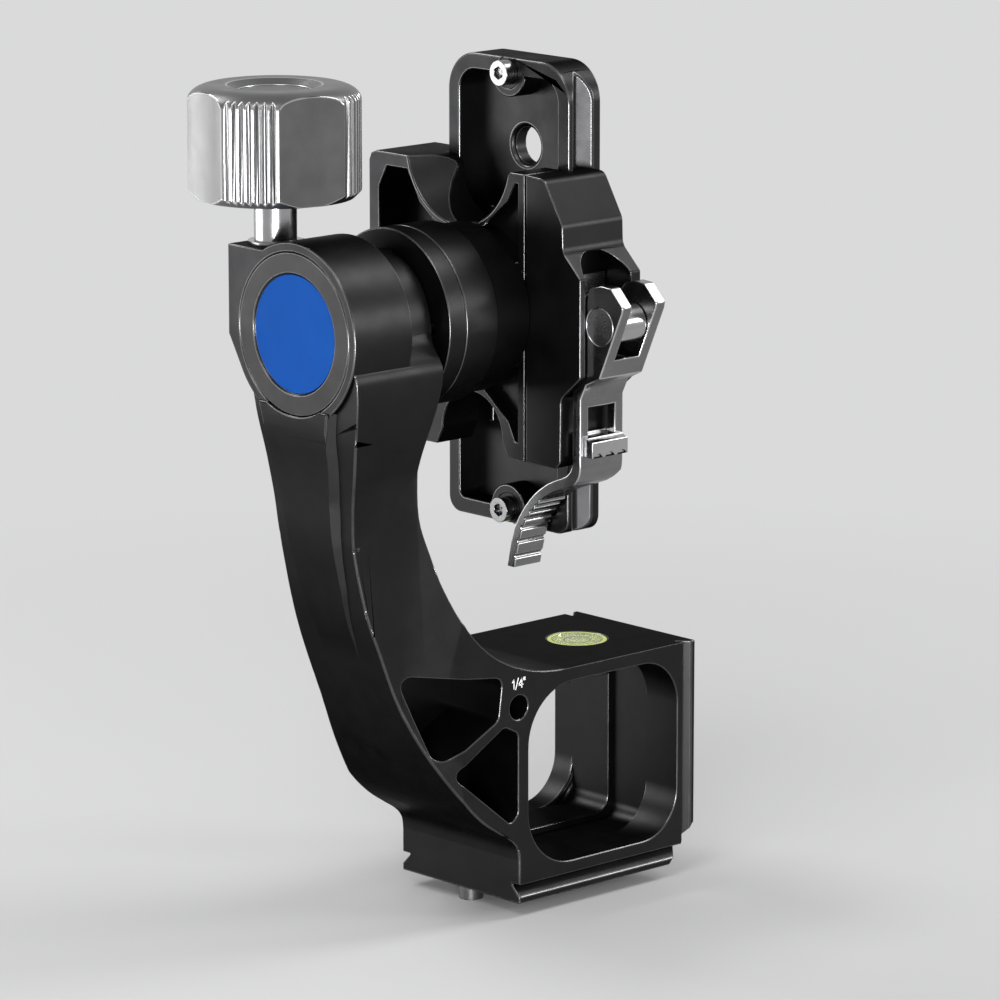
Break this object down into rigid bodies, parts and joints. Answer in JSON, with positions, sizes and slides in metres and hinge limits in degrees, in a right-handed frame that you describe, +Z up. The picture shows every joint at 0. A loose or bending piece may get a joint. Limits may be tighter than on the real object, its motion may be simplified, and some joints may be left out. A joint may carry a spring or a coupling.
{
  "type": "gimbal tripod head",
  "caption": "Gimbal tripod head: J-shaped arm on a dovetail foot, tilting hub with a lock knob, and a lever clamp holding a long lens plate.",
  "frame": {"origin": "centre of the foot's 3/8 inch tapping, at the foot's underside", "axes": "+Z up, +X along the tilt axis from the hub's cap towards the clamp, -Y the side of the clamp's lever"},
  "size_m": [0.1107, 0.0778, 0.1853],
  "materials": {
    "black_anodised": "black anodised, bead blasted, satin",
    "hub_cap_grey": "dark grey anodised, satin turned face",
    "silver_anodised": "clear anodised, fine satin",
    "stainless": "bright stainless steel",
    "bearing_steel": "ground steel",
    "dark_screw": "black oxide",
    "spring_steel": "drawn wire",
    "bronze": "turned bronze",
    "blue_disc": "blue anodised, satin",
    "level_body": "satin",
    "level_green": "tinted liquid",
    "level_air": "bubble",
    "clear_lens": "clear acrylic",
    "knob_insert": "matt moulded",
    "pad_rubber": "ribbed rubber"
  },
  "bodies": {
    "arm_body": {"arm": "black_anodised", "foot_stop_screws": "stainless", "level_cup": "level_body", "level_fluid": "level_green", "level_bubble": "level_air", "level_lens": "clear_lens", "hub_cap": "hub_cap_grey", "badge_disc": "blue_disc", "bearing_outer_rings": "bearing_steel", "brake_collar": "bronze", "knob_washer": "stainless"},
    "nut_body": {"brake_nut": "bearing_steel"},
    "knob_body": {"knob": "silver_anodised", "knob_cap": "knob_insert", "knob_stud": "stainless"},
    "ball_body": {"bearing_balls": "bearing_steel", "bearing_cages": "bronze"},
    "clamp_group": {"tilt_shaft": "bearing_steel", "bearing_inner_rings": "bearing_steel", "tilt_flange": "black_anodised", "clamp_hub": "black_anodised", "hub_screw": "dark_screw", "flange_screws": "dark_screw", "clamp_screws": "dark_screw", "clamp_body": "black_anodised", "guide_pins": "stainless", "drawbar": "stainless", "drawbar_nut": "bearing_steel", "jaw_springs": "spring_steel"},
    "jaw_body": {"moving_jaw": "black_anodised", "wear_plate": "bearing_steel"},
    "lever_body": {"lever": "silver_anodised", "lever_pin": "stainless"},
    "lock_body": {"lock_slider": "stainless", "slider_back": "bearing_steel"},
    "plate_body": {"lens_plate": "black_anodised", "plate_stop_screws": "stainless", "plate_pads": "pad_rubber"},
    "clip_body": {"camera_clip": "dark_screw"},
    "screw_body": {"camera_screw": "stainless"}
  },
  "joints": [
    {"name": "tilt", "type": "hinge", "parent": "arm_body", "child": "clamp_group", "pos_m": [0, 0, 0.1295], "axis": [1, 0, 0], "continuous": true},
    {"name": "ball_turn", "type": "hinge", "parent": "arm_body", "child": "ball_body", "pos_m": [0, 0, 0.1295], "axis": [1, 0, 0], "continuous": true},
    {"name": "knob_turn", "type": "hinge", "parent": "arm_body", "child": "knob_body", "pos_m": [-0.0632, 0.0149, 0.1463], "axis": [0, 0, 1], "range_deg": [0, 255]},
    {"name": "nut_slide", "type": "slide", "parent": "arm_body", "child": "nut_body", "axis": [0, 0, -1], "range_m": [0, 0.0005]},
    {"name": "lever_swing", "type": "hinge", "parent": "clamp_group", "child": "lever_body", "pos_m": [-0.0184, -0.0376, 0.1295], "axis": [-1, 0, 0], "range_deg": [0, 100]},
    {"name": "jaw_slide", "type": "slide", "parent": "clamp_group", "child": "jaw_body", "axis": [0, -1, 0], "range_m": [0, 0.0024], "deforming": ["jaw_springs"]},
    {"name": "lock_slide", "type": "slide", "parent": "lever_body", "child": "lock_body", "axis": [0, 0, 1], "range_m": [0, 0.0046]},
    {"name": "plate_slide", "type": "slide", "parent": "clamp_group", "child": "plate_body", "axis": [0, 0, 1], "range_m": [-0.0285, 0.0243]},
    {"name": "clip_slide", "type": "slide", "parent": "plate_body", "child": "clip_body", "axis": [0, 0, 1], "range_m": [-0.0125, 0.0165]},
    {"name": "screw_turn", "type": "hinge", "parent": "clip_body", "child": "screw_body", "pos_m": [-0.005, 0, 0.1231], "axis": [1, 0, 0], "continuous": true}
  ],
  "couplings": [
    {"joint": "ball_turn", "follows": "tilt", "ratio": 0.441},
    {"joint": "nut_slide", "follows": "knob_turn", "m_per_rad": 0.000111},
    {"joint": "jaw_slide", "follows": "lever_swing", "m_per_rad": 0.001374}
  ]
}
